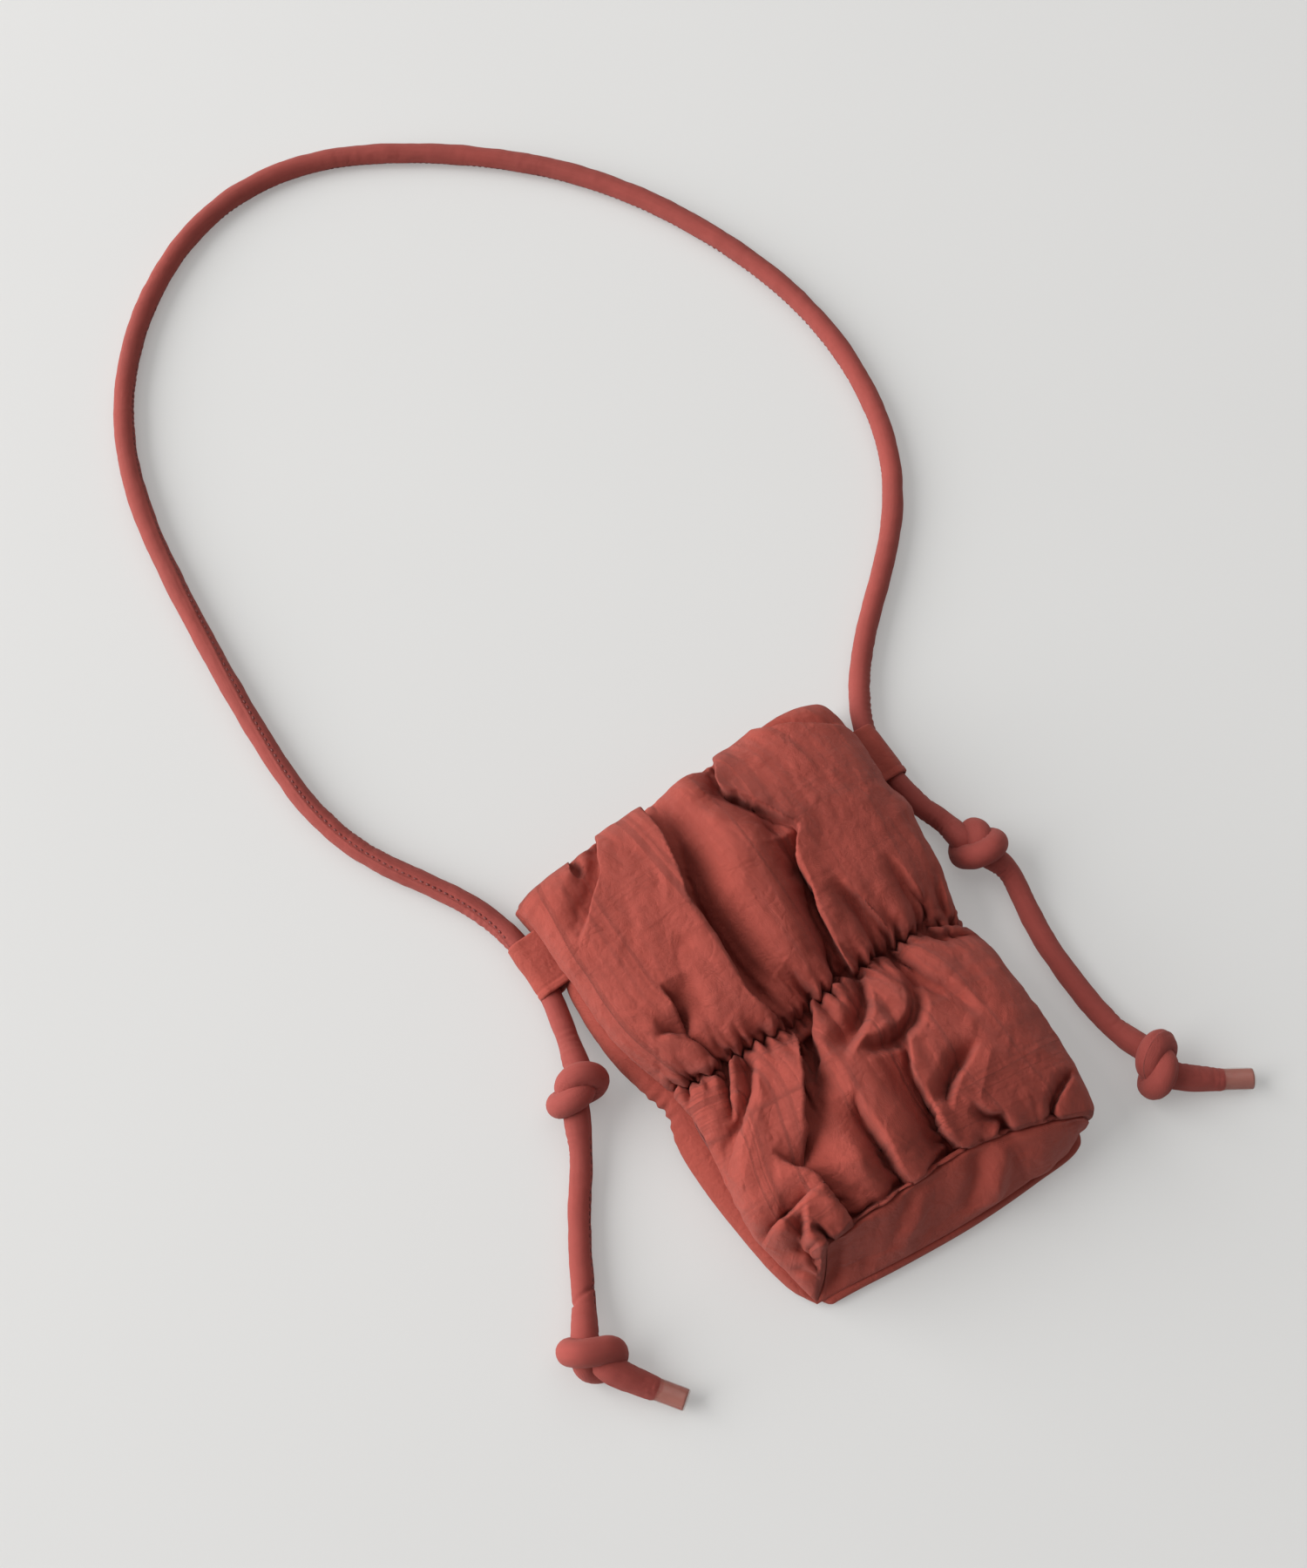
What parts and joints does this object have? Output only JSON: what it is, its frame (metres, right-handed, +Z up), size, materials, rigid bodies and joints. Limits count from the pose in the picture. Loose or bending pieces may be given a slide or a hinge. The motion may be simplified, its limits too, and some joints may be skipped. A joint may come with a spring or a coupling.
{
  "type": "puffy shoulder bag",
  "caption": "Small padded cloth pouch, gathered across its waist, with a round cloth-covered cord strap that runs through side tabs and ends in knotted tails.",
  "frame": {"origin": "on the floor under the middle of the pouch, which lies on its back", "axes": "+X across the pouch to its right side, +Y from the bottom towards the mouth, +Z up out of the front"},
  "size_m": [0.3422, 0.5837, 0.0441],
  "materials": {
    "shell_cloth": "fine matt nylon weave, crumpled over wadding",
    "cord_cloth": "fine matt nylon weave sewn round a soft core",
    "lining_cloth": "smooth thin woven lining",
    "elastic_knit": "ribbed knit elastic",
    "clear_sleeve": "clear shrink sleeve over the cord's end"
  },
  "bodies": {
    "root": {"front_panel": "shell_cloth", "back_panel": "shell_cloth", "left_gusset": "shell_cloth", "right_gusset": "shell_cloth", "bottom_panel": "shell_cloth", "left_strap_tab": "shell_cloth", "right_strap_tab": "shell_cloth", "lining": "lining_cloth", "front_waist_elastic": "elastic_knit", "back_waist_elastic": "elastic_knit", "strap_loop": "cord_cloth", "left_tail_upper": "cord_cloth", "left_upper_knot": "cord_cloth", "left_tail_lower": "cord_cloth", "left_lower_knot": "cord_cloth", "left_tail_end": "cord_cloth", "right_tail_upper": "cord_cloth", "right_upper_knot": "cord_cloth", "right_tail_lower": "cord_cloth", "right_lower_knot": "cord_cloth", "right_tail_end": "cord_cloth", "left_cord_tip": "clear_sleeve", "right_cord_tip": "clear_sleeve"}
  },
  "joints": []
}
